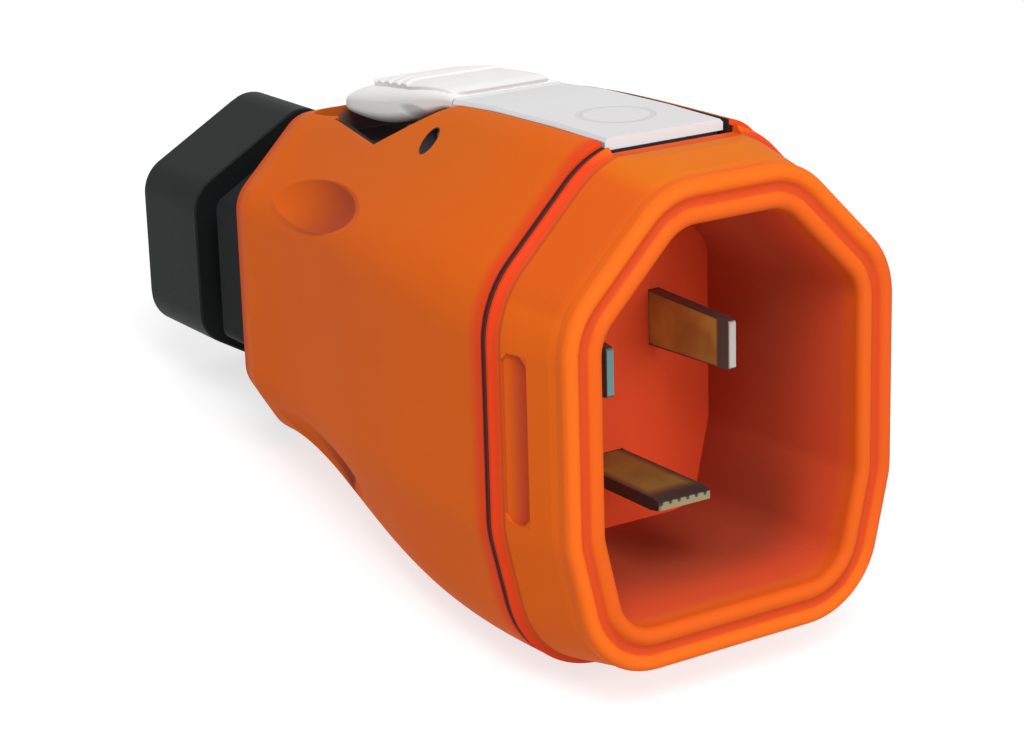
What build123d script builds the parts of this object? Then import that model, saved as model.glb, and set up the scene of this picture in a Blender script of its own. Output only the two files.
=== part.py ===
from build123d import *
import math
import os

# Three-blade inline power connector. Lengths are millimetres, angles are degrees.
# The mating axis and the cable axis are both the Y axis. The mouth faces -Y, Z is up, and the
# origin is the centre of the mouth opening, in the plane of its rim.

# Mouth opening: flat top, 45 degree upper chamfers, upright sides, lower sides that lean in
mouth_width = 50.0
mouth_height = 63.8
mouth_chamfer = 14.8
mouth_lean_x = 4.0
mouth_lean_z = 17.1
mouth_corner_r = 7.2
mouth_depth = 38.5
mouth_draft = 1.5

# Front shroud, measured outwards from the opening
rim_width = 7.2
bead_height = 1.3
rim_lip = 2.5
rim_valley = 2.2
valley_depth = 0.95
rim_neck_length = 2.75
rim_neck_flare = 0.35
skirt_length = 17.0
skirt_flare = 2.4
flange_grow = 10.8
flange_band = 1.7
flange_edge = 0.6
tube_wall = 3.0
skirt_pocket_floor = 8.0
skirt_pocket_inset = 0.2
back_wall = 6.0
side_slot_height = 27.5
side_slot_front = 8.9
side_slot_width = 5.4
side_slot_depth = 1.1

# Seam between the shroud and the grip
seam_gap = 1.0
gasket_inset = 0.2
gasket_width = 2.6
tongue_length = 7.5
tongue_clearance = 0.25

# Rear grip body
body_length = 97.5
body_wall = 3.0
body_shelf = 3.0
rear_half_width = 27.6
rear_top = 32.8
rear_bottom = -27.6
rear_chamfer = 14.6
rear_lower_x = 6.6
rear_lower_z = 10.6
rear_corner_r = 8.5
grip_top_r = 8.0
bevel_length = 6.5
bevel_inset = 1.7
rear_wall = 4.0
top_ease = 2.1
side_ease = 1.3
bottom_ease = 1.25
dimple_length = 36.0
dimple_width = 11.0
dimple_depth = 2.3
dimple_front_sink = 0.9
dimple_rear_lift = 0.3
upper_dimple_y = 84.5
upper_dimple_spot = 0.87
lower_dimple_y = 88.0
lower_dimple_spot = 2.42

# Latch lever, its channel in the top of the body, and its pin
lever_half_width = 11.5
pad_half_width = 10.9
lever_top = 42.8
lever_tip_thickness = 1.9
lever_tip_gap = 0.2
lever_front_y = 18.3
lever_tail_y = 107.5
lever_wall = 1.8
lever_swing = 5.5
channel_clearance = 0.9
channel_tail_gap = 1.2
channel_floor_front = 38.0
channel_floor_rear = 28.0
channel_skin = 2.2
pivot_y = 58.0
pivot_z = 36.8
pivot_boss_r = 4.2
pin_r = 1.8
pin_running_clearance = 0.05
pin_length = 33.2
hook_y = 20.8
hook_thickness = 4.2
hook_half_width = 5.5
hook_reach = 2.4
hook_window_clearance = 1.1
pad_floor_gap = 0.45
lever_edge = 0.6
paddle_round = 0.42
paddle_under_round = 0.26
lever_rest_gap = 0.1
spring_recess = 2.5
notch_crest_y = 59.5
notch_crest_z = 41.7
notch_crest_r = 12.0
notch_apex_y = 76.0
notch_apex_z = 33.0
pocket_start_y = 70.0
pocket_end_y = 99.5
pocket_lip = 0.6
tray_floor = 1.2
tray_wall = 1.0
tray_clearance = 0.1
spring_y = 91.0
spring_coil_r = 2.7
spring_wire_r = 0.45
spring_turns = 4.0
spring_seat_gap = 0.1

# Contacts
blade_thickness = 2.2
blade_tip_thickness = 1.3
blade_bevel = 2.4
blade_tip_corner = 0.35
side_blade_inset = 12.8
side_blade_z = 5.3
side_blade_width = 9.6
side_blade_tip_width = 8.2
side_blade_tip_y = 16.9
earth_blade_z = -18.0
earth_blade_width = 10.5
earth_blade_tip_y = 13.7
slot_clearance = 0.1
barrel_size = 10.0
barrel_length = 14.0
barrel_window = 6.2
terminal_screw_r = 1.75
terminal_screw_head_r = 2.9
terminal_screw_head = 1.8
clamp_plate_thickness = 1.2

# Contact carrier
carrier_inset = 3.5
carrier_top = 25.0
carrier_front_wall = 2.5
carrier_length = 19.0
carrier_screw_r = 1.5
carrier_screw_head_r = 2.8
carrier_screw_head = 2.0
carrier_screw_length = 9.0
carrier_screw_spots = [(0.0, 18.5), (-15.5, -12.5), (15.5, -12.5)]
carrier_ear_depth = 4.5

# Cable gland
spigot_r = 16.0
fit_clearance = 0.05
locknut_thickness = 4.0
locknut_flats = 38.0
collar_flats = 45.0
collar_length = 14.0
gland_washer = 0.8
thread_r = 17.6
neck_length = 22.0
seal_chamber_r = 14.0
seal_chamber_rest_gap = 0.8
cable_r = 8.0
cable_clearance_r = 9.5
seal_length = 16.0
slip_ring_length = 4.0
nut_flats = 48.5
nut_length = 23.4
nut_edge = 2.2
nut_front_edge = 0.3
nut_corner_r = 7.0
nut_end_wall = 4.0
nut_gap = 5.6
collar_corner_r = 2.5
tighten_travel = 2.0

# Places that several pieces share
tube_end_y = mouth_depth + back_wall
side_blade_x = mouth_width / 2 - side_blade_inset
seam_y = skirt_length + seam_gap
body_end_y = seam_y + body_length
bevel_start_y = body_end_y - bevel_length
carrier_end_y = tube_end_y + carrier_length
collar_front_y = body_end_y + gland_washer
collar_end_y = collar_front_y + collar_length
neck_end_y = collar_end_y + neck_length
nut_front_y = collar_end_y + nut_gap
nut_end_y = nut_front_y + nut_length
nut_floor_y = nut_end_y - nut_end_wall
channel_half_width = lever_half_width + channel_clearance
pad_start_y = pivot_y + 3.5
pad_clearance = (lever_tail_y - pivot_y) * math.sin(math.radians(lever_swing)) + pad_floor_gap
pad_under_z = channel_floor_rear + pad_clearance
spring_top_z = pad_under_z + spring_recess
tray_low_z = channel_floor_rear - tray_floor
barrel_start_y = tube_end_y + carrier_front_wall
barrel_end_y = barrel_start_y + barrel_length
screw_y = barrel_start_y + barrel_length * 0.6
carrier_ear_y = tube_end_y + carrier_ear_depth
slip_ring_start_y = nut_floor_y - slip_ring_length - fit_clearance
seal_end_y = slip_ring_start_y - fit_clearance
seal_start_y = seal_end_y - seal_length
chamber_floor_y = seal_start_y - tighten_travel - seal_chamber_rest_gap


def whole(right_side):
    """Closes a run of (x, z) corners on the right, top to bottom, with its mirror image."""
    return right_side + [(-x, z) for x, z in reversed(right_side)]


def grown(corners, amount):
    """Moves every straight side of a closed outline outwards by amount."""
    moved = []
    for i, (x, z) in enumerate(corners):
        before = Vector(x, z) - Vector(*corners[i - 1])
        after = Vector(*corners[(i + 1) % len(corners)]) - Vector(x, z)
        first, second = (Vector(-side.Y, side.X).normalized() for side in (before, after))
        shift = (first + second) * (amount / (1 + first.dot(second)))
        moved.append((x + shift.X, z + shift.Y))
    return moved


def upright_face(y, corners, radius):
    """A face in the plane at y with the given corners, all rounded."""
    return Plane.XZ.offset(-y) * make_face(FilletPolyline(*corners, radius=radius, close=True))


def prism(corners, radius, start_y, end_y):
    """A rounded outline carried along the axis."""
    return extrude(upright_face(start_y, corners, radius), amount=start_y - end_y)


def rod(radius, start_y, end_y, x=0.0, z=0.0):
    """A round bar along the axis."""
    return Pos(x, (start_y + end_y) / 2, z) * Rot(X=90) * Cylinder(radius, end_y - start_y)


def cross_rod(radius, length, y, z, x=0.0):
    """A round bar along X."""
    return Pos(x, y, z) * Rot(Y=90) * Cylinder(radius, length)


def block(x_span, y_span, z_span):
    """A plain rectangular cutter or filler between pairs of coordinates."""
    spans = (x_span, y_span, z_span)
    middle = [(low + high) / 2 for low, high in spans]
    size = [high - low for low, high in spans]
    return Pos(*middle) * Box(*size)


def side_cut(points, half_width, radii=None):
    """A (y, z) outline carried across X to both sides of the middle."""
    line = FilletPolyline(*points, radius=radii, close=True) if radii else Polyline(*points, close=True)
    return extrude(Plane.YZ * make_face(line), amount=half_width, both=True)


mouth = whole(
    [
        (mouth_width / 2 - mouth_chamfer, mouth_height / 2),
        (mouth_width / 2, mouth_height / 2 - mouth_chamfer),
        (mouth_width / 2, mouth_lean_z - mouth_height / 2),
        (mouth_width / 2 - mouth_lean_x, -mouth_height / 2),
    ]
)
grip_end = whole(
    [
        (rear_half_width - rear_chamfer, rear_top),
        (rear_half_width, rear_top - rear_chamfer),
        (rear_half_width, rear_bottom + rear_lower_z),
        (rear_half_width - rear_lower_x, rear_bottom),
    ]
)


def mouth_ring(inner, outer, start_y, end_y):
    """A ring between two outlines that run parallel to the mouth."""
    outside = prism(grown(mouth, outer), mouth_corner_r + outer, start_y, end_y)
    return outside - prism(grown(mouth, inner), mouth_corner_r + inner, start_y, end_y)


def rim_section():
    """Section of the rim and skirt: u runs outwards from the opening, v backwards."""
    bead_start = rim_lip + rim_valley
    bead_crest = bead_start + 0.64 * (rim_width - bead_start)
    bead_end = bead_height * 1.2
    neck_end = bead_end + rim_neck_length
    neck_middle = (rim_width - 0.2 * rim_neck_flare, (bead_end + neck_end) / 2)
    neck_outer = rim_width + rim_neck_flare
    shoulder = 0.45 * valley_depth
    flange_front = skirt_length - flange_band
    skirt_end = (rim_width + skirt_flare, flange_front - flange_edge)
    pocket_inner = tube_wall - 1.0
    pocket_outer = rim_width - skirt_pocket_inset
    edge = [
        Line((-2, bead_height), (0, bead_height)),
        ThreePointArc((0, bead_height), (0.46 * rim_lip, 0), (rim_lip, shoulder)),
        ThreePointArc((rim_lip, shoulder), (rim_lip + rim_valley / 2, valley_depth), (bead_start, shoulder)),
        ThreePointArc((bead_start, shoulder), (bead_crest, 0.07 * bead_height), (rim_width, bead_end)),
        Line((rim_width, bead_end), neck_middle),
        Line(neck_middle, (neck_outer, neck_end)),
        Line((neck_outer, neck_end), skirt_end),
        Line(skirt_end, (flange_grow, flange_front + flange_edge)),
        Line((flange_grow, flange_front + flange_edge), (flange_grow, skirt_length - flange_edge)),
        Line((flange_grow, skirt_length - flange_edge), (flange_grow - flange_edge, skirt_length)),
        Line((flange_grow - flange_edge, skirt_length), (pocket_outer, skirt_length)),
        Line((pocket_outer, skirt_length), (pocket_outer, skirt_pocket_floor)),
        Line((pocket_outer, skirt_pocket_floor), (pocket_inner, skirt_pocket_floor)),
        Line((pocket_inner, skirt_pocket_floor), (pocket_inner, skirt_pocket_floor + 3)),
        Line((pocket_inner, skirt_pocket_floor + 3), (-2, skirt_pocket_floor + 3)),
        Line((-2, skirt_pocket_floor + 3), (-2, bead_height)),
    ]
    return make_face(edge)


def mouth_cavity():
    """The space inside the mouth, which narrows towards its floor for the moulding's draft."""
    near = upright_face(bead_height, mouth, mouth_corner_r)
    far = upright_face(mouth_depth, grown(mouth, -mouth_draft), mouth_corner_r - mouth_draft)
    return loft([near, far], ruled=True)


def side_slot(side):
    """Shallow upright finger recess in one flank, deepest along its front edge."""
    flank = mouth_width / 2 + rim_width + skirt_flare
    front, rear = side_slot_front, side_slot_front + side_slot_width
    front_x = flank - 1.0 - side_slot_depth
    outline = [(front_x, front), (flank + 3, front), (flank + 3, rear), (flank - 0.5, rear)]
    half = side_slot_height / 2
    cutter = extrude(make_face(Polyline(*outline, close=True)), amount=half, both=True)
    ends = cutter.edges().filter_by(Axis.X, tolerance=35).group_by(Axis.Z)
    cutter = chamfer(ends[0] + ends[-1], side_slot_width * 0.25)
    return cutter if side > 0 else mirror(cutter, Plane.YZ)


def blade_slots(clearance):
    """Cutters for the three slots that the blades pass through."""
    half_t = blade_thickness / 2 + clearance
    side_w = side_blade_width / 2 + clearance
    earth_w = earth_blade_width / 2 + clearance
    through = (mouth_depth - 1, tube_end_y + carrier_front_wall + 1)
    upright = (side_blade_z - side_w, side_blade_z + side_w)
    cutters = [
        block((x - half_t, x + half_t), through, upright) for x in (-side_blade_x, side_blade_x)
    ]
    cutters.append(
        block((-earth_w, earth_w), through, (earth_blade_z - half_t, earth_blade_z + half_t))
    )
    return cutters


def make_front_shroud():
    path = Plane.XZ * FilletPolyline(*mouth, radius=mouth_corner_r, close=True)
    start = path @ 0
    outward = (path % 0).cross(Vector(0, 1, 0))
    if outward.dot(start) < 0:
        outward = -outward
    section_plane = Plane(origin=start, x_dir=outward, z_dir=outward.cross(Vector(0, 1, 0)))
    shroud = sweep(section_plane * rim_section(), path=path)
    tube_outline = grown(mouth, tube_wall)
    shroud += prism(tube_outline, mouth_corner_r + tube_wall, skirt_pocket_floor - 1, tube_end_y)
    shroud -= mouth_cavity()
    recess_floor = lever_top - lever_tip_thickness - lever_tip_gap
    half = channel_half_width
    shroud -= block((-half, half), (side_slot_front, seam_y), (recess_floor, recess_floor + 6))
    shroud -= side_slot(1)
    shroud -= side_slot(-1)
    for cutter in blade_slots(slot_clearance):
        shroud -= cutter
    for x, z in carrier_screw_spots:
        shroud -= rod(carrier_screw_r + fit_clearance, tube_end_y - back_wall + 1.5, tube_end_y + 1, x, z)
    shroud -= hook_window(mouth_height / 2 - 2, mouth_height / 2 + tube_wall + 2)
    return shroud


def hook_window(low_z, high_z):
    """Cutter for the window that the latch hook drops through."""
    half = hook_half_width + hook_window_clearance
    span = (hook_y - hook_window_clearance, hook_y + hook_thickness + hook_window_clearance)
    return block((-half, half), span, (low_z, high_z))


def make_seam_gasket():
    outer = flange_grow - gasket_inset
    ring = mouth_ring(outer - gasket_width, outer, skirt_length, seam_y)
    half = channel_half_width
    return ring - block((-half, half), (skirt_length - 1, seam_y + 1), (0, mouth_height))


def eased(share, lateness):
    """Goes from 0 to 1 with level ends. A larger lateness holds it near 0 for longer."""
    return (1 - math.cos(math.pi * share**lateness)) / 2


def grip_corners(y):
    """Corners of the grip's section at y, between the flange and the rear end."""
    share = (y - seam_y) / (bevel_start_y - seam_y)
    top, side, bottom = (eased(share, late) for late in (top_ease, side_ease, bottom_ease))
    flange = grown(mouth, flange_grow)

    def blend(index, x_share, z_share):
        (x0, z0), (x1, z1) = flange[index], grip_end[index]
        return (x0 + (x1 - x0) * x_share, z0 + (z1 - z0) * z_share)

    return whole(
        [blend(0, side, top), blend(1, side, top), blend(2, side, bottom), blend(3, side, bottom)]
    )


def grip_radii(y, inset=0.0):
    """Corner radii of the grip's section at y, in the order of its corners."""
    share = min(1, (y - seam_y) / (bevel_start_y - seam_y))
    front = mouth_corner_r + flange_grow
    side = front + (rear_corner_r - front) * share - inset
    top = grip_top_r - inset
    return [top, side, side, side, side, side, side, top]


def grip_form(inset, start_y, end_y, sections=8):
    """The smooth outer form of the grip, drawn in by inset all round."""
    faces = []
    for i in range(sections):
        y = start_y + (end_y - start_y) * i / (sections - 1)
        faces.append(upright_face(y, grown(grip_corners(y), -inset), grip_radii(y, inset)))
    return loft(faces)


def rear_bevel(inset, end_y):
    """The bevelled rear band of the grip, drawn in by inset."""
    share = (end_y - bevel_start_y) / bevel_length
    near = upright_face(bevel_start_y, grown(grip_end, -inset), grip_radii(bevel_start_y, inset))
    far_inset = inset + bevel_inset * share
    far = upright_face(end_y, grown(grip_end, -far_inset), grip_radii(end_y, far_inset))
    return loft([near, far], ruled=True)


def facet_x(y, z):
    """Half width of the grip at y and height z, on its upper chamfered facet."""
    (x0, z0), (x1, z1) = grip_corners(y)[:2]
    return x0 + (x1 - x0) * (z - z0) / (z1 - z0)


def channel_profile(drop, rear_drop=0.0):
    """Side view of the lever channel: (y, z) corners with its floor lowered by drop, more at the rear."""
    front = channel_floor_front - drop
    pivot_floor = pivot_z - pivot_boss_r - 1.0 - drop
    rear = channel_floor_rear - drop - rear_drop
    rear_y = lever_tail_y + channel_tail_gap + drop
    return [
        (skirt_length - 1, front),
        (pivot_y - 11, front),
        (pivot_y - 5, pivot_floor),
        (pivot_y + 6, pivot_floor),
        (pivot_y + 11, rear),
        (rear_y, rear),
        (rear_y, mouth_height),
        (skirt_length - 1, mouth_height),
    ]


def thumb_pocket(inset, low_z, high_z):
    """The wide well under the thumb paddle, as wide as the grip's facets allow."""
    rear_span = pocket_end_y - notch_apex_y
    right = [(channel_half_width - inset, pocket_start_y + inset)]
    for share in (0, 0.33, 0.67, 1):
        y = notch_apex_y + rear_span * share
        right.append((facet_x(y, notch_apex_z) - pocket_lip - inset, y - inset * share))
    outline = make_face(Polyline(*whole(right), close=True))
    return extrude(Pos(0, 0, low_z) * outline, amount=high_z - low_z)


def grip_spot(y, spot):
    """A point on the grip's right side and its outward direction.

    Spot counts the section's corners from the top: 1 is the rounded second corner, and 2.5 is
    halfway along the facet from the third to the fourth.
    """
    corners = [Vector(x, 0, z) for x, z in grip_corners(y)]
    index, share = int(spot), spot % 1
    after = (corners[index + 1] - corners[index]).normalized()
    if share:
        normal = after.cross(Vector(0, 1, 0))
        point = corners[index] + (corners[index + 1] - corners[index]) * share
    else:
        before = (corners[index] - corners[index - 1]).normalized()
        normal = (before + after).cross(Vector(0, 1, 0)).normalized()
        half_turn = math.radians(before.get_angle(after)) / 2
        point = corners[index] - normal * grip_radii(y)[index] * (1 / math.cos(half_turn) - 1)
    if normal.X < 0:
        normal = -normal
    return point + Vector(0, y, 0), normal


def finger_dimple(y, spot, swell=0.0):
    """A long scoop in the grip's right side, deeper at its front end than at its rear."""
    front, front_normal = grip_spot(y - dimple_length / 2, spot)
    rear, rear_normal = grip_spot(y + dimple_length / 2, spot)
    front -= front_normal * dimple_front_sink
    rear += rear_normal * dimple_rear_lift
    along = (rear - front).normalized()
    across = along.cross(front_normal + rear_normal).normalized()
    outward = across.cross(along)
    half_length, half_width = dimple_length / 2, dimple_width / 2
    radius = (half_width**2 + dimple_depth**2) / (2 * dimple_depth)
    middle = (front + rear) / 2 + outward * (radius - dimple_depth)
    size = (radius + swell, half_length * radius / half_width + swell, radius + swell)
    return Plane(origin=middle, x_dir=outward, z_dir=across) * scale(Sphere(1), by=size)


def dimples(swell=0.0):
    """Scoops in the upper corner and the lower facet of both flanks."""
    right = [
        finger_dimple(upper_dimple_y, upper_dimple_spot, swell),
        finger_dimple(lower_dimple_y, lower_dimple_spot, swell),
    ]
    return right + [mirror(scoop, Plane.YZ) for scoop in right]


def make_rear_body():
    shelf_y = seam_y + body_shelf
    inner_end_y = body_end_y - rear_wall
    body = grip_form(0, seam_y, bevel_start_y) + rear_bevel(0, body_end_y)
    hollow = grip_form(body_wall, shelf_y, bevel_start_y) + rear_bevel(body_wall, inner_end_y)
    hollow -= side_cut(channel_profile(channel_skin, tray_floor), mouth_width)
    for scoop in dimples(body_wall * 0.7):
        hollow -= scoop
    body -= hollow
    sleeve = tube_wall + tongue_clearance
    body -= prism(grown(mouth, sleeve), mouth_corner_r + sleeve, seam_y - 1, shelf_y + 1)
    tongue_outer = rim_width - skirt_pocket_inset - tongue_clearance
    body += mouth_ring(sleeve, tongue_outer, seam_y - tongue_length, seam_y + 1)
    body -= side_cut(channel_profile(0), channel_half_width)
    notch = [
        (notch_crest_y - 10, mouth_height),
        (notch_crest_y - 10, notch_crest_z + 1.2),
        (notch_crest_y, notch_crest_z),
        (notch_apex_y, notch_apex_z),
        (pocket_end_y + 1, notch_apex_z),
        (pocket_end_y + 1, mouth_height),
    ]
    body -= side_cut(notch, 2 * mouth_width, [1, 1, notch_crest_r, 1, 1, 1])
    body -= thumb_pocket(0, tray_low_z, mouth_height)
    for scoop in dimples():
        body -= scoop
    body -= cross_rod(pin_r + fit_clearance / 2, 2 * mouth_width, pivot_y, pivot_z)
    body -= hook_window(mouth_height / 2, channel_floor_front + 1)
    body -= rod(spigot_r + fit_clearance, inner_end_y - 1, body_end_y + 1)
    return body


def make_spring_tray():
    """The black tray that lines the thumb pocket and carries the foot of the latch spring."""
    rim_z = notch_apex_z - 0.5
    tray = thumb_pocket(tray_clearance, tray_low_z, rim_z)
    tray -= thumb_pocket(tray_clearance + tray_wall, channel_floor_rear, rim_z + 1)
    clear = channel_half_width + tray_clearance
    rear_gap = (pocket_end_y - 3 * tray_wall, pocket_end_y + 1)
    tray -= block((-clear, clear), rear_gap, (channel_floor_rear, rim_z + 1))
    boss_r = spring_coil_r - spring_wire_r - 0.3
    boss = Pos(0, spring_y, channel_floor_rear) * Cylinder(
        boss_r, spring_recess, align=(Align.CENTER, Align.CENTER, Align.MIN)
    )
    return tray + chamfer(boss.edges().group_by(Axis.Z)[-1], 0.4)


def make_thumb_paddle():
    """The soft-edged rear end of the lever, from the pivot to the tail."""
    length = lever_tail_y - pad_start_y
    stations = [
        (0.00, -0.4, 6.5, 1.1),
        (0.13, -0.1, 6.2, 0.6),
        (0.23, 0.0, 4.6, 0.7),
        (0.33, 0.1, 3.0, 0.9),
        (0.50, 0.3, 0.9, 1.8),
        (0.66, 0.5, 0.0, 3.1),
        (0.79, 0.9, 0.0, 4.7),
        (0.91, 2.3, 0.0, 6.7),
        (1.00, 5.0, 0.0, 8.2),
    ]
    faces = []
    for share, narrowing, rise, drop in stations:
        half, low, top = pad_half_width - narrowing, pad_under_z + rise, lever_top - drop
        radii = [paddle_round * (top - low), paddle_under_round * (top - low)]
        outline = whole([(half, top), (half, low)])
        faces.append(upright_face(pad_start_y + length * share, outline, radii + radii[::-1]))
    return loft(faces)


def make_latch_lever():
    plate_low = lever_top - lever_tip_thickness
    floor = channel_floor_front + lever_rest_gap
    plate_view = [
        (lever_front_y, plate_low),
        (lever_front_y, lever_top),
        (lever_front_y + 14, lever_top + 0.2),
        (pivot_y - 8, lever_top - 0.1),
        (pad_start_y + 1, lever_top - 1.0),
        (pad_start_y + 1, pivot_z + 1.5),
        (pivot_y - 5, pivot_z + 1.8),
        (pivot_y - 10, floor),
        (lever_front_y + 1.5, floor),
        (lever_front_y + 1.5, plate_low),
    ]
    lever = side_cut(plate_view, lever_half_width)
    top_rim = lever.faces().filter_by(Axis.X).edges().filter_by(lambda e: e.center().Z > lever_top - 0.7)
    lever = chamfer(top_rim, lever_edge)
    hollow = [
        (lever_front_y + 8, floor - 1),
        (lever_front_y + 8, lever_top - lever_wall),
        (pivot_y - 9, lever_top - lever_wall - 0.2),
        (pivot_y - 9, floor - 1),
    ]
    lever -= side_cut(hollow, lever_half_width - lever_wall)
    lever += make_thumb_paddle()
    lever += cross_rod(pivot_boss_r, 2 * lever_half_width - 1, pivot_y, pivot_z)
    lever -= cross_rod(pin_r + pin_running_clearance, 3 * lever_half_width, pivot_y, pivot_z)
    lever -= Pos(0, spring_y, spring_top_z) * Cylinder(
        spring_coil_r + 1.4, 2 * spring_recess, align=(Align.CENTER, Align.CENTER, Align.MAX)
    )
    tip_z = mouth_height / 2 - hook_reach
    hook = [
        (hook_y, plate_low + 0.5),
        (hook_y, tip_z + 2.2),
        (hook_y + 1.6, tip_z),
        (hook_y + hook_thickness, tip_z),
        (hook_y + hook_thickness, plate_low + 0.5),
    ]
    return lever + side_cut(hook, hook_half_width)


def make_latch_pin():
    return chamfer(cross_rod(pin_r, pin_length, pivot_y, pivot_z).edges(), 0.3)


def make_latch_spring():
    low = channel_floor_rear + spring_wire_r + spring_seat_gap
    high = spring_top_z - spring_wire_r - spring_seat_gap
    coil = Pos(0, spring_y, low) * Helix((high - low) / spring_turns, high - low, spring_coil_r)
    wire = Plane(origin=coil @ 0, z_dir=coil % 0) * Circle(spring_wire_r)
    return sweep(wire, path=coil, is_frenet=True)


def make_blade(width, tip_width, tip_y):
    """A blade lying in XY with its terminal barrel behind, before it is turned and placed."""
    half_w, half_t = width / 2, blade_thickness / 2
    half_tip, tip_t = tip_width / 2, blade_tip_thickness / 2
    root_y = barrel_start_y + 1
    side = [
        (tip_y, -tip_t),
        (tip_y, tip_t),
        (tip_y + blade_bevel, half_t),
        (root_y, half_t),
        (root_y, -half_t),
        (tip_y + blade_bevel, -half_t),
    ]
    plan = [
        (half_tip - blade_tip_corner, tip_y),
        (half_tip, tip_y + blade_tip_corner),
        (half_w, mouth_depth - 1),
        (half_w, root_y),
    ]
    outline = make_face(Polyline(*whole(plan), close=True))
    blade = side_cut(side, half_w) & extrude(outline, amount=half_t, both=True)
    half_b = barrel_size / 2
    barrel = block((-half_b, half_b), (barrel_start_y, barrel_end_y), (-half_b, half_b))
    barrel = chamfer(barrel.edges().filter_by(Axis.Y), 0.8)
    half_n = barrel_window / 2
    barrel -= block((-half_n, half_n), (barrel_start_y + 2, barrel_end_y + 1), (-half_n, half_n))
    screw_hole = Pos(0, screw_y, half_b) * Cylinder(terminal_screw_r + fit_clearance / 2, barrel_size)
    return blade + (barrel - screw_hole)


def make_terminal_screw():
    """Pan-head screw pointing down -Z, over the barrel's middle, before it is placed."""
    head_z = barrel_size / 2 + 0.05
    shank_low = barrel_window / 2 - clamp_plate_thickness + 0.1
    shank = Pos(0, screw_y, (head_z + shank_low) / 2) * Cylinder(terminal_screw_r, head_z - shank_low)
    head = Pos(0, screw_y, head_z + terminal_screw_head / 2) * Cylinder(
        terminal_screw_head_r, terminal_screw_head
    )
    head = fillet(head.edges().group_by(Axis.Z)[-1], 0.6)
    slot_top = head_z + terminal_screw_head
    screw = shank + head
    for angle in (0, 90):
        screw -= Pos(0, screw_y, slot_top) * Rot(Z=angle) * Box(3.4, 0.8, 1.8)
    return screw


def make_clamp_plate():
    """Pressure plate under the terminal screw's tip, before it is placed."""
    half = barrel_window / 2 - 0.15
    top = barrel_window / 2 - clamp_plate_thickness
    span = (barrel_start_y + 2.5, barrel_end_y - 0.5)
    return block((-half, half), span, (top - clamp_plate_thickness, top))


def contact_places():
    """Where each of the three contacts stands, and which way its screw faces."""
    return {
        "left": Pos(-side_blade_x, 0, side_blade_z) * Rot(Y=-90),
        "right": Pos(side_blade_x, 0, side_blade_z) * Rot(Y=90),
        "earth": Pos(0, 0, earth_blade_z) * Rot(Y=180),
    }


def make_contact_carrier():
    outline = grown(mouth, -carrier_inset)
    radius = mouth_corner_r - carrier_inset
    carrier = prism(outline, radius, tube_end_y, carrier_end_y)
    carrier -= block((-mouth_width, mouth_width), (tube_end_y - 1, carrier_end_y + 1), (carrier_top, 60))
    half = barrel_size / 2 + slot_clearance
    pocket_span = (barrel_start_y - slot_clearance, carrier_end_y + 1)
    for place in contact_places().values():
        carrier -= place * block((-half, half), pocket_span, (-half, half))
        access = terminal_screw_head_r + 0.6
        carrier -= place * Pos(0, screw_y, mouth_width / 2) * Cylinder(access, mouth_width)
        slot = (screw_y, carrier_end_y + 1)
        carrier -= place * block((-access, access), slot, (0, mouth_width))
    for cutter in blade_slots(slot_clearance):
        carrier -= cutter
    for x, z in carrier_screw_spots:
        carrier -= rod(carrier_screw_r + 0.2, tube_end_y - 1, carrier_end_y + 1, x, z)
        carrier -= rod(carrier_screw_head_r + 0.4, carrier_ear_y, carrier_end_y + 1, x, z)
    return carrier


def make_carrier_screw(x, z):
    head_y = carrier_ear_y + 0.05
    screw = rod(carrier_screw_r, head_y - carrier_screw_length, head_y + 0.5, x, z)
    head = rod(carrier_screw_head_r, head_y, head_y + carrier_screw_head, x, z)
    screw += fillet(head.edges().group_by(Axis.Y)[-1], 0.7)
    for angle in (0, 90):
        screw -= Pos(x, head_y + carrier_screw_head, z) * Rot(Y=angle) * Box(3.2, 2.0, 0.8)
    return screw


def hexagon(flats, corner_r, y):
    """A hexagon across the axis with corners up and down, like the nut's."""
    corners = [
        (flats / math.sqrt(3) * math.sin(math.radians(a)), flats / math.sqrt(3) * math.cos(math.radians(a)))
        for a in range(0, 360, 60)
    ]
    return upright_face(y, corners, corner_r)


def make_gland_body():
    inner_y = body_end_y - rear_wall
    spigot_start = inner_y - locknut_thickness - 3
    gland = rod(spigot_r, spigot_start, collar_front_y + 1)
    collar = loft(
        [
            hexagon(collar_flats, collar_corner_r, collar_front_y),
            hexagon(collar_flats, collar_corner_r, collar_end_y),
        ],
        ruled=True,
    )
    neck = rod(thread_r, collar_end_y - 1, neck_end_y)
    gland += collar
    gland += chamfer(neck.edges().group_by(Axis.Y)[-1], 0.8)
    gland -= rod(seal_chamber_r, chamber_floor_y, neck_end_y + 1)
    return gland - rod(cable_clearance_r + 1, spigot_start - 1, neck_end_y)


def make_gland_locknut():
    inner_y = body_end_y - rear_wall
    nut = extrude(hexagon(locknut_flats, 1.0, inner_y - locknut_thickness), amount=-locknut_thickness)
    return nut - rod(spigot_r + fit_clearance, inner_y - locknut_thickness - 1, inner_y + 1)


def make_gland_washer():
    ring = rod(collar_flats / 2 - 0.6, body_end_y, collar_front_y)
    return ring - rod(spigot_r + fit_clearance, body_end_y - 1, collar_front_y + 1)


def make_cable_seal():
    seal = rod(seal_chamber_r - fit_clearance, seal_start_y, seal_end_y)
    seal = chamfer(seal.edges().group_by(Axis.Y)[0], 2.5)
    return seal - rod(cable_r, seal_start_y - 1, seal_end_y + 1)


def make_slip_ring():
    ring_end_y = slip_ring_start_y + slip_ring_length
    ring = rod(seal_chamber_r - fit_clearance, slip_ring_start_y, ring_end_y)
    return ring - rod(cable_clearance_r, slip_ring_start_y - 1, ring_end_y + 1)


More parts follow.
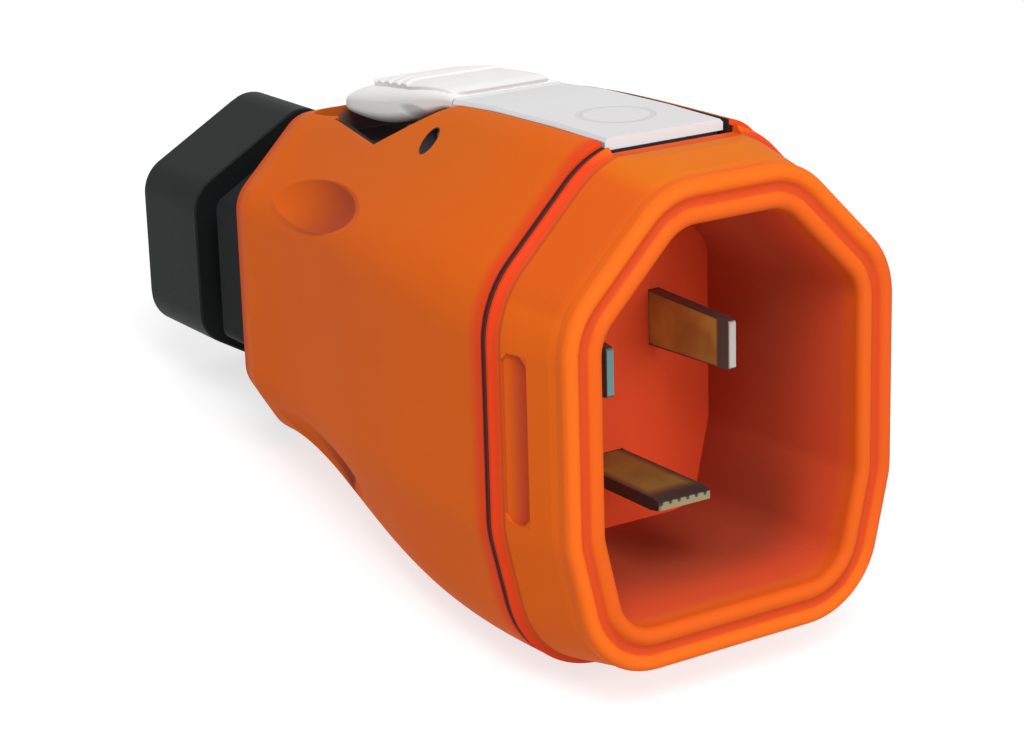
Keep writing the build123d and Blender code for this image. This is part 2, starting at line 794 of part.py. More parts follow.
def make_gland_nut():
    shell = loft(
        [
            hexagon(nut_flats - 2 * nut_front_edge, nut_corner_r, nut_front_y),
            hexagon(nut_flats, nut_corner_r, nut_front_y + nut_front_edge),
            hexagon(nut_flats, nut_corner_r, nut_end_y - nut_edge),
            hexagon(nut_flats - 0.6 * nut_edge, nut_corner_r, nut_end_y - 0.3 * nut_edge),
            hexagon(nut_flats - 2 * nut_edge, nut_corner_r, nut_end_y),
        ],
        ruled=True,
    )
    shell -= rod(thread_r + fit_clearance, nut_front_y - 1, nut_floor_y)
    shell -= rod(cable_clearance_r, nut_floor_y - 1, nut_end_y + 1)
    return shell


def all_parts():
    """Every piece by its node name."""
    parts = {
        "front_shroud": make_front_shroud(),
        "seam_gasket": make_seam_gasket(),
        "rear_body": make_rear_body(),
        "latch_lever": make_latch_lever(),
        "latch_pin": make_latch_pin(),
        "latch_spring": make_latch_spring(),
        "spring_tray": make_spring_tray(),
        "contact_carrier": make_contact_carrier(),
        "gland_body": make_gland_body(),
        "gland_locknut": make_gland_locknut(),
        "gland_washer": make_gland_washer(),
        "cable_seal": make_cable_seal(),
        "slip_ring": make_slip_ring(),
        "gland_nut": make_gland_nut(),
    }
    side_blade = make_blade(side_blade_width, side_blade_tip_width, side_blade_tip_y)
    earth_blade = make_blade(earth_blade_width, earth_blade_width, earth_blade_tip_y)
    blades = {"left": side_blade, "right": side_blade, "earth": earth_blade}
    for name, place in contact_places().items():
        parts[f"blade_{name}"] = place * blades[name]
        parts[f"clamp_plate_{name}"] = place * make_clamp_plate()
        parts[f"terminal_screw_{name}"] = place * make_terminal_screw()
    for number, (x, z) in enumerate(carrier_screw_spots, start=1):
        parts[f"carrier_screw_{number}"] = make_carrier_screw(x, z)
    return parts


os.makedirs("parts", exist_ok=True)
for node, solid in all_parts().items():
    export_step(solid, f"parts/{node}.step")
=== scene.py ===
"""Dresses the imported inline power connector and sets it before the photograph's camera.

Every length is in millimetres until a mesh is made, when MM turns it into metres.
"""

import logging
import math
from dataclasses import dataclass
from typing import Any, Callable

import bmesh
import bpy
from mathutils import Matrix, Vector


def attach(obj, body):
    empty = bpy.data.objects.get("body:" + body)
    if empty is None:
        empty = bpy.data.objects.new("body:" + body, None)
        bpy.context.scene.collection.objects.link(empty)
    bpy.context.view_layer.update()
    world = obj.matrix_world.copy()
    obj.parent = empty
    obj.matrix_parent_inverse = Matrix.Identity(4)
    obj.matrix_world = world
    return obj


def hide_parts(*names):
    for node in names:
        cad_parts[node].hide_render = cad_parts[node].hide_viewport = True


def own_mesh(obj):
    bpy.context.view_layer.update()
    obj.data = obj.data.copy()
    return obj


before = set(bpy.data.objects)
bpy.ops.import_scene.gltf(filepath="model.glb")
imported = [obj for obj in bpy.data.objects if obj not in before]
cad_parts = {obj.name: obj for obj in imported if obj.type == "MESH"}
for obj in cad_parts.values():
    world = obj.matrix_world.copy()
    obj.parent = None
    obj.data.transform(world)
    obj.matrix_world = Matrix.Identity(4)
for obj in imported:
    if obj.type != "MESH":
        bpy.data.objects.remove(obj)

MM = 0.001
LOG = logging.getLogger("connector")
Colour = tuple[float, float, float]
Point = tuple[float, float, float]
Pair = tuple[float, float]
Fade = tuple[str, float, float]
WHITE: Colour = (1.0, 1.0, 1.0)


def tint(code: str) -> Colour:
    """Turns a six-digit screen colour into the linear colour that shaders read, by the sRGB curve.

    Args:
        code: Red, green and blue as hexadecimal digits, such as "E86A20".

    Returns:
        The linear red, green and blue.
    """
    parts = [int(code[start : start + 2], 16) / 255 for start in (0, 2, 4)]
    return tuple(part / 12.92 if part <= 0.04045 else ((part + 0.055) / 1.055) ** 2.4 for part in parts)


@dataclass(frozen=True)
class Coat:
    """A colour laid over another, where all of its fades let it show.

    A fade names a field, the value at which the coat starts and the value at which it is full. The names in
    within are fields that are shares already.
    """

    code: str
    share: float
    fades: tuple[Fade, ...] = ()
    within: tuple[str, ...] = ()


class Signal:
    """A socket's value, on which Python's operators lay Math nodes."""

    def __init__(self, sheet: "Sheet", socket: Any) -> None:
        """Keeps the socket with the sheet that it belongs to."""
        self.sheet = sheet
        self.socket = socket

    def maths(self, operation: str, *others: Any) -> "Signal":
        """Adds one Math node.

        Args:
            operation: The Math node's operation.
            others: Further operands, numbers or signals.

        Returns:
            The node's result.
        """
        inputs = dict(enumerate((self, *others)))
        return self.sheet.node("ShaderNodeMath", {"operation": operation}, inputs)

    def __add__(self, other: Any) -> "Signal":
        """Adds."""
        return self.maths("ADD", other)

    def __sub__(self, other: Any) -> "Signal":
        """Subtracts."""
        return self.maths("SUBTRACT", other)

    def __rsub__(self, other: float) -> "Signal":
        """Subtracts from a number."""
        return self.sheet.number(other).maths("SUBTRACT", self)

    def __mul__(self, other: Any) -> "Signal":
        """Multiplies."""
        return self.maths("MULTIPLY", other)

    def __truediv__(self, other: Any) -> "Signal":
        """Divides."""
        return self.maths("DIVIDE", other)

    __radd__ = __add__
    __rmul__ = __mul__

    def size(self) -> "Signal":
        """Gives the value without its sign."""
        return self.maths("ABSOLUTE")

    def most(self, other: Any) -> "Signal":
        """Gives the larger of two values."""
        return self.maths("MAXIMUM", other)

    def least(self, other: Any) -> "Signal":
        """Gives the smaller of two values."""
        return self.maths("MINIMUM", other)

    def wave(self) -> "Signal":
        """Gives the sine."""
        return self.maths("SINE")

    def root(self) -> "Signal":
        """Gives the square root."""
        return self.maths("SQRT")

    def line(self, start: float, value: float, slope: float) -> "Signal":
        """Gives what changes evenly with this value.

        Args:
            start: Where the line starts.
            value: What it is there.
            slope: How much it gains a unit.

        Returns:
            The line's value.
        """
        return (self - start) * slope + value

    def oval(self, other: "Signal", centre: Pair, half: Pair = (1.0, 1.0)) -> "Signal":
        """Gives the squared distance from an oval's centre, which is 1 on the oval.

        Args:
            other: The value along the second axis.
            centre: The centre along both axes.
            half: The oval's half widths.

        Returns:
            The squared distance, in half widths.
        """
        first = (self - centre[0]) / half[0]
        second = (other - centre[1]) / half[1]
        return first * first + second * second

    def ramp(self, low: float, high: float) -> "Signal":
        """Rises smoothly from 0 at low to 1 at high, or falls where high is the smaller.

        Args:
            low: The value at which the result is 0.
            high: The value at which the result is 1.

        Returns:
            The eased share.
        """
        ends = (low, high, 0.0, 1.0) if low < high else (high, low, 1.0, 0.0)
        inputs = dict(enumerate((self, *ends)))
        return self.sheet.node("ShaderNodeMapRange", {"interpolation_type": "SMOOTHSTEP"}, inputs)


class Sheet:
    """The node tree of one material or world."""

    def __init__(self, owner: Any) -> None:
        """Empties the tree of a new material or world."""
        self.owner = owner
        owner.use_nodes = True
        self.tree = owner.node_tree
        self.tree.nodes.clear()

    def plug(self, socket: Any, value: Any) -> None:
        """Links a signal to a socket, or sets the socket's own value."""
        if isinstance(value, Signal):
            self.tree.links.new(value.socket, socket)
        elif isinstance(value, tuple) and len(value) == 3 and socket.type == "RGBA":
            socket.default_value = (*value, 1.0)
        else:
            socket.default_value = value

    def node(self, kind: str, settings: dict[str, Any], inputs: dict[Any, Any], output: Any = 0) -> Signal:
        """Adds a node of any kind.

        Args:
            kind: Blender's name of the node type.
            settings: Properties, which are set before the sockets.
            inputs: Values or signals by the socket's name or index.
            output: The name or index of the output that is wanted.

        Returns:
            That output.
        """
        made = self.tree.nodes.new(kind)
        for key, value in settings.items():
            setattr(made, key, value)
        for key, value in inputs.items():
            self.plug(made.inputs[key], value)
        return Signal(self, made.outputs[output])

    def number(self, value: float) -> Signal:
        """Gives a number as a signal."""
        return self.node("ShaderNodeMath", {"operation": "ADD"}, {0: value, 1: 0.0})

    def place(self) -> Signal:
        """Gives the point on the piece, in metres, in the shared frame."""
        return self.node("ShaderNodeTexCoord", {}, {}, "Object")

    def split(self, vector: Signal) -> tuple[Signal, Signal, Signal]:
        """Gives a vector's three parts."""
        made = self.node("ShaderNodeSeparateXYZ", {}, {0: vector}).socket.node
        return tuple(Signal(self, socket) for socket in made.outputs)

    def axes(self) -> tuple[Signal, Signal, Signal]:
        """Gives the point's x, y and z in millimetres."""
        return tuple(part * (1 / MM) for part in self.split(self.place()))

    def fields(self) -> dict[str, Signal]:
        """Gives the fields that every finish has: x, y and z, and wide and tall, which are x and z unsigned."""
        x, y, z = self.axes()
        return {"x": x, "y": y, "z": z, "wide": x.size(), "tall": z.size()}

    def noise(self, size_mm: float, detail: float = 2.0, stretch: Point = (1.0, 1.0, 1.0)) -> Signal:
        """Gives a cloudy value from 0 to 1.

        Args:
            size_mm: The width of one cloud.
            detail: How many finer layers it has.
            stretch: A scale along each axis.

        Returns:
            The value.
        """
        laid = self.node("ShaderNodeMapping", {}, {"Vector": self.place(), "Scale": stretch})
        inputs = {"Vector": laid, "Scale": 1 / (size_mm * MM), "Detail": detail}
        return self.node("ShaderNodeTexNoise", {}, inputs)

    def blend(self, share: Any, first: Any, second: Any) -> Signal:
        """Mixes two colours.

        Args:
            share: How much of the second, from 0 to 1.
            first: The colour at 0.
            second: The colour at 1.

        Returns:
            The mixed colour.
        """
        made = self.tree.nodes.new("ShaderNodeMix")
        made.data_type = "RGBA"
        by_name = {socket.identifier: socket for socket in made.inputs}
        self.plug(by_name["Factor_Float"], share)
        self.plug(by_name["A_Color"], first)
        self.plug(by_name["B_Color"], second)
        shown = next(socket for socket in made.outputs if socket.identifier == "Result_Color")
        return Signal(self, shown)

    def mask(self, fades: tuple[Fade, ...], fields: dict[str, Signal]) -> Signal:
        """Multiplies fades.

        Args:
            fades: Each a field's name with the values at which it starts and is full.
            fields: The signals by name.

        Returns:
            Where all of them show, from 0 to 1.
        """
        first, *others = (fields[key].ramp(start, full) for key, start, full in fades)
        for other in others:
            first = first * other
        return first

    def lay(self, base: Any, coat: Coat, fields: dict[str, Signal]) -> Signal:
        """Lays a coat over a colour.

        Args:
            base: The colour below.
            coat: The coat.
            fields: The signals that its fades and shares name.

        Returns:
            The coated colour.
        """
        shown = self.mask(coat.fades, fields) * coat.share
        for key in coat.within:
            shown = shown * fields[key]
        return self.blend(shown, base, tint(coat.code))

    def bump(self, height: Signal, depth_mm: float) -> Signal:
        """Turns a height from 0 to 1 into a bent normal.

        Args:
            height: The height pattern.
            depth_mm: What 1 stands for.

        Returns:
            The normal.
        """
        return self.node("ShaderNodeBump", {}, {"Height": height, "Distance": depth_mm * MM, "Strength": 1.0})

    def surface(self, **inputs: Any) -> bpy.types.Material:
        """Ends the tree in one Principled surface.

        Args:
            inputs: Values or signals, by the socket's name with _ for a space.

        Returns:
            The finished material.
        """
        named = {key.replace("_", " "): value for key, value in inputs.items()}
        self.end(self.node("ShaderNodeBsdfPrincipled", {}, named))
        return self.owner

    def end(self, shader: Signal, kind: str = "ShaderNodeOutputMaterial") -> None:
        """Links a shader to the tree's output, of the kind that its owner takes."""
        output = self.tree.nodes.new(kind)
        self.tree.links.new(shader.socket, output.inputs["Surface"])


@dataclass(frozen=True)
class OrangeShell:
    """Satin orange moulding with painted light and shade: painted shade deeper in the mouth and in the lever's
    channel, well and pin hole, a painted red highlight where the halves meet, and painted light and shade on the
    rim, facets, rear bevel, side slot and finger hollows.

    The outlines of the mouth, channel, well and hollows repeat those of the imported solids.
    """

    flank: Colour = tint("E66819")
    cloud: Colour = tint("DF6115")
    cloud_mm: float = 26.0
    rim: Fade = ("y", 5.0, 2.0)
    skirt: tuple[Fade, ...] = (("y", 15.0, 14.0), ("y", 2.0, 4.0))
    # Painted shade: darker high up and towards the back.
    top_shade: Coat = Coat("DA681D", 1.0, (("z", 18.0, 40.0), ("y", 20.0, 50.0)))
    # Painted highlight: the rim is brighter than the flank.
    rim_highlight: Coat = Coat("EA691C", 0.8, (rim,))
    # Painted shade: the rim's right side is darker and redder, away from the light.
    rim_right_shade: Coat = Coat("CC4722", 0.6, (rim, ("x", 24.0, 32.0), ("away", 3.0, 4.5)))
    # Painted shade on the lip by the mouth's edge.
    lip_shade: Coat = Coat("D6581B", 0.7, (rim, ("away", 3.0, 1.6)))
    # Painted shade on faces that slope up at a slant.
    facet_shade: Coat = Coat("DB5E1B", 1.0, (("up", 0.38, 0.5), ("up", 0.92, 0.8), *skirt), ("outside",))
    # Painted shade on faces that look straight up.
    crown_shade: Coat = Coat("DB7019", 1.0, (("up", 0.8, 0.97), *skirt))
    # Painted shade in the groove between the rim's bead and lip.
    valley_shade: Coat = Coat(
        "C23E20", 0.8, (("y", 0.4, 0.85), ("y", 1.6, 1.3), ("back", -0.45, -0.8), ("away", 0.3, 1.2))
    )
    # Painted shade: a dark line on the flange's front step.
    step_shade: Coat = Coat("A83E26", 0.6, (("y", 14.0, 14.4), ("y", 15.5, 15.1), ("z", 42.0, 40.0)), ("outside",))
    # Painted highlight: a hot red band on the flange beside the gasket.
    seam_lighting: Coat = Coat("DC391B", 0.85, (("y", 14.5, 15.3), ("y", 18.0, 17.2), ("z", 42.2, 39.5)), ("outside",))
    # Painted light: a bright red band on the body's front edge by the gasket.
    collar_light_shade: Coat = Coat("E8421C", 0.85, (("y", 22.0, 18.5), ("y", 17.2, 18.0)), ("outside",))
    # Painted shade: the rear bevel is darker and redder.
    rear: Coat = Coat("D64A08", 0.85, (("y", 111.5, 114.8),))
    # Painted shade in the side slot, darkest towards its front end.
    slot: Coat = Coat(
        "BE4228",
        0.9,
        (("sunk", -0.08, 0.12), ("sunk", 3.7, 3.5), ("y", 8.7, 8.9), ("y", 14.3, 10.5), ("tall", 14.0, 13.7)),
        ("outside",),
    )
    # Painted shade in the upper finger hollow, darkest at its front end, and in the lower one.
    hollow: Coat = Coat("B0441F", 1.0, (("lens", 1.0, 0.8), ("wide", 19.0, 21.0)), ("forward",))
    low_hollow_shade: Coat = Coat(
        "8A2A1C", 0.9, (("low", 1.0, 0.1), ("y", 75.0, 76.5), ("y", 98.0, 77.0), ("wide", 19.0, 21.0))
    )
    # Painted shade inside the mouth: darker and redder deeper in and low on the right, lighter high up, and
    # painted light on its back wall.
    mouth_shade_near: Colour = tint("DE5631")
    mouth_shade_deep: Coat = Coat("B0482F", 1.0, (("y", 0.0, 24.0),))
    mouth_light_high: Coat = Coat("D0603E", 1.0, (("z", -8.0, 28.0), ("y", 8.0, 26.0)))
    mouth_shade_low: Coat = Coat("96402A", 0.7, (("z", -12.0, -24.0), ("y", 8.0, 20.0), ("x", -15.0, 0.0)))
    # Painted light on the mouth's back wall.
    floor: Coat = Coat("E8532D", 1.0, (("y", 38.2, 38.4),))
    # Painted shade: the lever's channel, the well and the pin's hole are painted near black, with a darker ledge
    # along the well's top and the channel's rear wall darker low down.
    shadow: Colour = tint("3A3436")
    ledge_shade: Coat = Coat("171314", 1.0, (("z", 32.3, 32.4), ("z", 33.2, 33.1)))
    well_end_shade: Coat = Coat(
        "8A6A66",
        1.0,
        (("y", 108.35, 108.45), ("y", 109.3, 109.2), ("z", 32.6, 31.0), ("wide", 8.2, 6.0)),
        ("outside",),
    )
    mouth: tuple[Fade, ...] = (("away", 4.0, 2.0), ("y", 0.9, 1.5), ("y", 45.0, 44.8))
    wall_start: Pair = (1.0, 6.0)
    channel: tuple[Fade, ...] = (
        ("wide", 12.49, 12.46),
        ("z", 26.0, 26.5),
        ("y", 17.1, 17.2),
        ("y", 108.55, 108.45),
    )
    well: tuple[Fade, ...] = (
        ("past_well", 0.15, -0.15),
        ("z", 24.9, 25.0),
        ("z", 33.3, 33.2),
        ("y", 69.8, 70.0),
        ("y", 99.2, 99.0),
    )
    pin_hole: tuple[Fade, ...] = (("from_pin", 2.1, 1.9),)
    pivot: Pair = (58.0, 36.8)
    well_front: Point = (70.0, 12.6, 1.093)
    well_rear: Point = (76.0, 19.2, -0.2426)
    slot_wall: Point = (4.3, 32.55, 0.197)
    hollow_line: Point = (0.0, 30.7, -0.107)
    hollow_middle: float = 84.5
    hollow_half: Pair = (17.0, 4.5)
    hollow_run: Pair = (97.0, 71.0)
    hollow_share: Pair = (0.12, 0.85)
    low_line: Point = (76.0, -26.6, 0.28)
    low_half: float = 2.4
    mouth_half: Pair = (25.0, 31.9)
    mouth_facet: float = 42.1
    lean: Pair = (0.9738, 0.2278)
    lean_top: float = -14.8
    roughness: float = 0.55
    rough_spread: float = 0.1
    gloss_mm: float = 7.0
    grain_mm: float = 0.32
    grain_depth: float = 0.008
    specular: float = 0.05

    def from_mouth(self, wide: Signal, z: Signal, tall: Signal) -> Signal:
        """Gives how far a point lies outside the mouth's outline, in millimetres.

        Args:
            wide: The distance from the upright middle plane.
            z: The height.
            tall: The height without its sign.

        Returns:
            The distance, below 0 inside the outline.
        """
        side = wide - self.mouth_half[0]
        outline = side.most(tall - self.mouth_half[1])
        outline = outline.most((wide + z - self.mouth_facet) * math.sqrt(0.5))
        return outline.most(side * self.lean[0] - (z - self.lean_top) * self.lean[1])

    def fields(self, sheet: Sheet) -> dict[str, Signal]:
        """Gives every field that the shell's coats name.

        Args:
            sheet: The material's sheet.

        Returns:
            back and up are the normal's y and z. away is the distance outside the mouth's outline, past_well
            that outside the well's, and from_pin that from the pin's axis. sunk is the depth under the flank's
            face. lens and low are 1 on the outlines of the upper and lower finger hollow. inside, outside and
            forward are shares.
        """
        found = sheet.fields()
        y, z, wide = found["y"], found["z"], found["wide"]
        _, found["back"], found["up"] = sheet.split(sheet.node("ShaderNodeTexCoord", {}, {}, "Normal"))
        found["away"] = self.from_mouth(wide, z, found["tall"])
        found["inside"] = sheet.mask(self.mouth, found)
        found["outside"] = 1.0 - found["inside"]
        found["sunk"] = y.line(*self.slot_wall) - wide
        found["lens"] = y.oval(z - y.line(*self.hollow_line), (self.hollow_middle, 0.0), self.hollow_half)
        found["forward"] = y.ramp(*self.hollow_run) * self.hollow_share[1] + self.hollow_share[0]
        low = (z - y.line(*self.low_line)) / self.low_half
        found["low"] = low * low
        found["past_well"] = wide - y.line(*self.well_rear).least(y.line(*self.well_front))
        found["from_pin"] = y.oval(z, self.pivot).root()
        return found

    def make(self) -> bpy.types.Material:
        """Builds the material."""
        sheet = Sheet(bpy.data.materials.new("orange_shell"))
        fields = self.fields(sheet)
        base = sheet.blend(sheet.noise(self.cloud_mm), self.flank, self.cloud)
        # Painted light and shade: a brighter rim, darker lip, facets and upward faces, red highlights where the
        # halves meet, and darker rear bevel, side slot and finger hollows.
        mouth_end = (self.rim_highlight, self.rim_right_shade, self.lip_shade, self.facet_shade, self.crown_shade, self.valley_shade)
        # Painted light and shade where the two halves meet.
        seam_lighting = (self.step_shade, self.seam_lighting, self.collar_light_shade)
        for coat in (self.top_shade, *mouth_end, *seam_lighting, self.rear, self.slot, self.hollow, self.low_hollow_shade):
            base = sheet.lay(base, coat, fields)
        # Painted light and shade on the mouth's inner walls.
        mouth_light_shade = self.mouth_shade_near
        for coat in (self.mouth_shade_deep, self.mouth_light_high, self.mouth_shade_low, self.floor):
            mouth_light_shade = sheet.lay(mouth_light_shade, coat, fields)
        base = sheet.blend(fields["inside"] * fields["y"].ramp(*self.wall_start), base, mouth_light_shade)
        # Painted shade: near black in the lever's channel, the well and the pin's hole.
        dark = sheet.mask(self.channel, fields).most(sheet.mask(self.well, fields))
        dark = dark.most(sheet.mask(self.pin_hole, fields)) * fields["outside"]
        base = sheet.blend(dark, base, sheet.lay(self.shadow, self.ledge_shade, fields))
        return sheet.surface(
            Base_Color=sheet.lay(base, self.well_end_shade, fields),
            Roughness=self.roughness + sheet.noise(self.gloss_mm, detail=3.0) * self.rough_spread,
            Normal=sheet.bump(sheet.noise(self.grain_mm, detail=3.0), self.grain_depth),
            Specular_IOR_Level=self.specular,
        )


@dataclass(frozen=True)
class Moulding:
    """A moulded plastic or rubber with a fine grain, faint clouds and any coats."""

    name: str
    light: Colour
    dark: Colour
    roughness: float
    grain_mm: float
    grain_depth: float
    cloud_mm: float = 14.0
    specular: float = 0.3
    rough_spread: float = 0.12
    coats: tuple[Coat, ...] = ()

    def layers(self) -> tuple[Coat, ...]:
        """Gives the coats in the order in which they are laid."""
        return self.coats

    def fields(self, sheet: Sheet) -> dict[str, Signal]:
        """Gives every field that the coats name."""
        return sheet.fields()

    def relief(self, sheet: Sheet, fields: dict[str, Signal]) -> dict[str, Signal]:
        """Gives the larger relief under the grain, as a Bump node's inputs. A plain moulding has none."""
        return {}

    def make(self) -> bpy.types.Material:
        """Builds the material."""
        sheet = Sheet(bpy.data.materials.new(self.name))
        fields = self.fields(sheet) if self.layers() else {}
        grain = sheet.noise(self.grain_mm, detail=4.0)
        base = sheet.blend(sheet.noise(self.cloud_mm, detail=3.0), self.light, self.dark)
        for coat in self.layers():
            base = sheet.lay(base, coat, fields)
        fine = sheet.bump(grain, self.grain_depth)
        for socket, value in self.relief(sheet, fields).items():
            sheet.plug(fine.socket.node.inputs[socket], value)
        return sheet.surface(
            Base_Color=base,
            Roughness=self.roughness + grain * self.rough_spread,
            Normal=fine,
            Specular_IOR_Level=self.specular,
        )


@dataclass(frozen=True)
class Gasket(Moulding):
    """Dark elastomer, redder towards its two edges."""

    rough_spread: float = 0.1
    coats: tuple[Coat, ...] = (Coat("8A3422", 0.8, (("from_middle", 0.26, 0.46),)),)
    middle_y: float = 17.5

    def fields(self, sheet: Sheet) -> dict[str, Signal]:
        """Adds the distance from the gasket's middle."""
        found = sheet.fields()
        found["from_middle"] = (found["y"] - self.middle_y).size()
        return found


@dataclass(frozen=True)
class LeverGrey(Moulding):
    """The lever's light grey moulding, with a plain ring, a parting line and a side hollow, with painted shade
    towards its front, on its front face, under it and in the side hollow, and painted light on the paddle's end.
    """

    # Painted shade: the plate darkens towards its front.
    fore_shade: Coat = Coat("D6D3D3", 0.6, (("y", 48.0, 24.0),))
    # Painted light: the paddle's end is lighter.
    thumb: Coat = Coat("FAF8F7", 1.0, (("y", 62.9, 63.1),))
    # Painted shade on the lever's front face.
    front: Coat = Coat("D9DDDF", 1.0, (("y", 18.7, 18.4),))
    # Painted shade: the hook's root in the gap under the lever's front is painted near black.
    gap_shade: Coat = Coat("2A2829", 0.9, (("z", 40.7, 40.5), ("y", 24.0, 20.0)))
    # Painted shade in the side hollow, which the bump also sinks.
    hollow: Coat = Coat("8F8D90", 0.5, (("dent", 1.0, 0.0), ("wide", 9.0, 10.2)))
    line: Coat = Coat(
        "9C9A98", 0.8, (("y", 62.78, 62.9), ("y", 63.22, 63.1), ("wide", 10.6, 10.9), ("z", 42.4, 42.2))
    )
    ring: Coat = Coat("8F8D90", 0.18, (("reach", 5.3, 5.65), ("reach", 6.7, 6.35), ("z", 42.4, 42.6)))
    ring_middle: Pair = (0.0, 31.6)
    dent_middle: Pair = (75.9, 37.6)
    dent_half: Pair = (6.0, 1.3)
    relief_depth: float = -0.12
    ring_relief: float = 0.8

    def layers(self) -> tuple[Coat, ...]:
        """Gives the coats in the order in which they are laid."""
        return self.fore_shade, self.thumb, self.front, self.gap_shade, self.hollow, self.line, self.ring

    def fields(self, sheet: Sheet) -> dict[str, Signal]:
        """Adds dent, which is 1 on the side hollow's outline, and reach, measured from the ring's middle."""
        found = sheet.fields()
        found["dent"] = found["y"].oval(found["z"], self.dent_middle, self.dent_half)
        found["reach"] = found["x"].oval(found["y"], self.ring_middle).root()
        return found

    def relief(self, sheet: Sheet, fields: dict[str, Signal]) -> dict[str, Signal]:
        """Sinks the ring and the side hollow."""
        ring, hollow = sheet.mask(self.ring.fades, fields), sheet.mask(self.hollow.fades, fields)
        return {"Normal": sheet.bump(ring * self.ring_relief + hollow, self.relief_depth)}


@dataclass(frozen=True)
class BladeMetal:
    """Contact metal with drawn lines along Y, dark narrow faces and a bare tip of its own colour.

    An upright blade's narrow faces look along Z, and a flat one's along X. The dark colour reaches fade
    millimetres further in from them. Teeth is how deep the notches go that run across a flat blade's tip.
    """

    name: str
    tip: Colour
    tip_y: float
    tip_metal: float
    middle: Pair
    tip_half: float
    root_half: float
    upright: bool = True
    fade: float = 0.3
    teeth: float = 0.0
    face: Colour = tint("C8C466")
    stain: Colour = tint("A89A52")
    dark: Colour = tint("4A4E58")
    root_y: float = 37.5
    bevel: float = 2.4
    narrow_edge: Pair = (0.15, 0.08)
    bevel_soft: float = 0.3
    dark_share: float = 0.92
    tooth_pitch: float = 1.75
    tooth_z: Pair = (-0.1, 0.5)
    tip_depth: Pair = (0.35, 0.15)
    stain_mm: float = 9.0
    stain_span: Pair = (0.4, 0.7)
    drawn_mm: float = 0.5
    drawn_stretch: Point = (1.0, 0.04, 1.0)
    drawn_depth: float = 0.004
    metal: float = 0.3
    roughness: float = 0.3
    rough_spread: float = 0.14
    specular: float = 0.35

    def make(self) -> bpy.types.Material:
        """Builds the material."""
        sheet = Sheet(bpy.data.materials.new(self.name))
        x, y, z = sheet.axes()
        across, up = x - self.middle[0], z - self.middle[1]
        drawn = sheet.noise(self.drawn_mm, detail=3.0, stretch=self.drawn_stretch)
        stained = sheet.noise(self.stain_mm).ramp(*self.stain_span)
        base = sheet.blend(stained, self.face, self.stain)
        widening = (self.root_half - self.tip_half) / (self.root_y - self.tip_y)
        inset = y.line(self.tip_y, self.tip_half, widening) - (up if self.upright else across).size()
        narrow = inset.ramp(self.narrow_edge[0] + self.fade, self.narrow_edge[1])
        bevel_y = self.tip_y + self.bevel
        # Darker towards the tip's bevel.
        bevel_dark = y.ramp(bevel_y + self.bevel_soft + 2.0 * self.fade, bevel_y)
        base = sheet.blend(bevel_dark.most(narrow) * self.dark_share, base, self.dark)
        notch = (across * (2 * math.pi / self.tooth_pitch)).wave().most(0.0) * up.ramp(*self.tooth_z)
        tip = (y + notch * self.teeth).ramp(self.tip_y + self.tip_depth[0], self.tip_y + self.tip_depth[1])
        return sheet.surface(
            Base_Color=sheet.blend(tip, base, self.tip),
            Metallic=(1.0 - tip) * self.metal + tip * self.tip_metal,
            Roughness=self.roughness + drawn * self.rough_spread,
            Normal=sheet.bump(drawn, self.drawn_depth),
            Specular_IOR_Level=self.specular,
        )


@dataclass(frozen=True)
class Steel:
    """Plated or ground steel."""

    name: str
    light: Colour
    dark: Colour
    roughness: float
    metal: float = 1.0
    rough_spread: float = 0.15
    cloud_mm: float = 3.0
    brushed_mm: float = 0.4
    brushed_stretch: Point = (1.0, 1.0, 0.1)
    brushed_depth: float = 0.004

    def make(self) -> bpy.types.Material:
        """Builds the material."""
        sheet = Sheet(bpy.data.materials.new(self.name))
        brushed = sheet.noise(self.brushed_mm, detail=3.0, stretch=self.brushed_stretch)
        return sheet.surface(
            Base_Color=sheet.blend(sheet.noise(self.cloud_mm, detail=3.0), self.light, self.dark),
            Metallic=self.metal,
            Roughness=self.roughness + brushed * self.rough_spread,
            Normal=sheet.bump(brushed, self.brushed_depth),
        )


